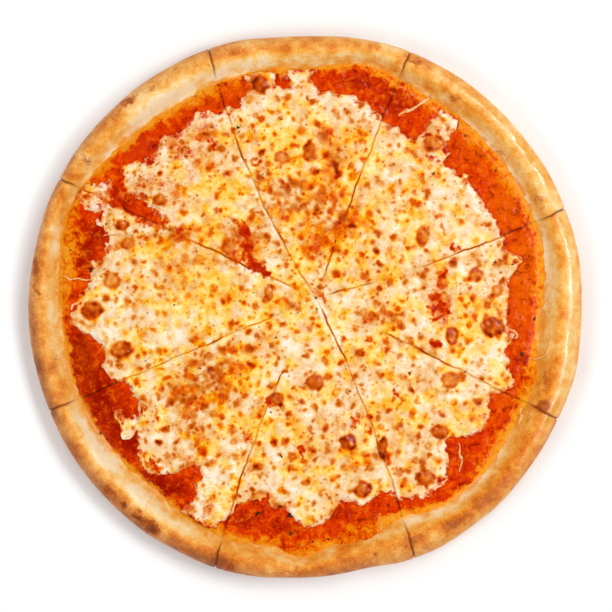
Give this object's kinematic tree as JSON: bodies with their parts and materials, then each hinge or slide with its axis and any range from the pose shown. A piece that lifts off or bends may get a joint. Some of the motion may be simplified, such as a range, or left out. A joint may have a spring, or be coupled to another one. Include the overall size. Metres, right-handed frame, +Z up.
{
  "type": "cheese pizza",
  "caption": "Round cheese pizza cut into slices that lie together: raised baked rim, tomato sauce and browned melted cheese.",
  "frame": {"origin": "under the middle of the pizza's outline, on the surface it rests on", "axes": "+Z up out of the cheese; +X towards the right of the picture and +Y towards its top"},
  "size_m": [0.3198, 0.3132, 0.0177],
  "materials": {
    "crust": "baked golden dough, satin, with browned spots",
    "sauce": "oily red tomato sauce",
    "cheese": "melted cheese, cream with orange-brown blisters, slightly oily"
  },
  "bodies": {
    "root": {"crust_1": "crust", "sauce_1": "sauce", "cheese_1": "cheese", "crust_2": "crust", "sauce_2": "sauce", "cheese_2": "cheese", "crust_3": "crust", "sauce_3": "sauce", "cheese_3": "cheese", "crust_4": "crust", "sauce_4": "sauce", "cheese_4": "cheese", "crust_5": "crust", "sauce_5": "sauce", "cheese_5": "cheese", "crust_6": "crust", "sauce_6": "sauce", "cheese_6": "cheese", "crust_7": "crust", "sauce_7": "sauce", "cheese_7": "cheese", "crust_8": "crust", "sauce_8": "sauce", "cheese_8": "cheese"}
  },
  "joints": []
}
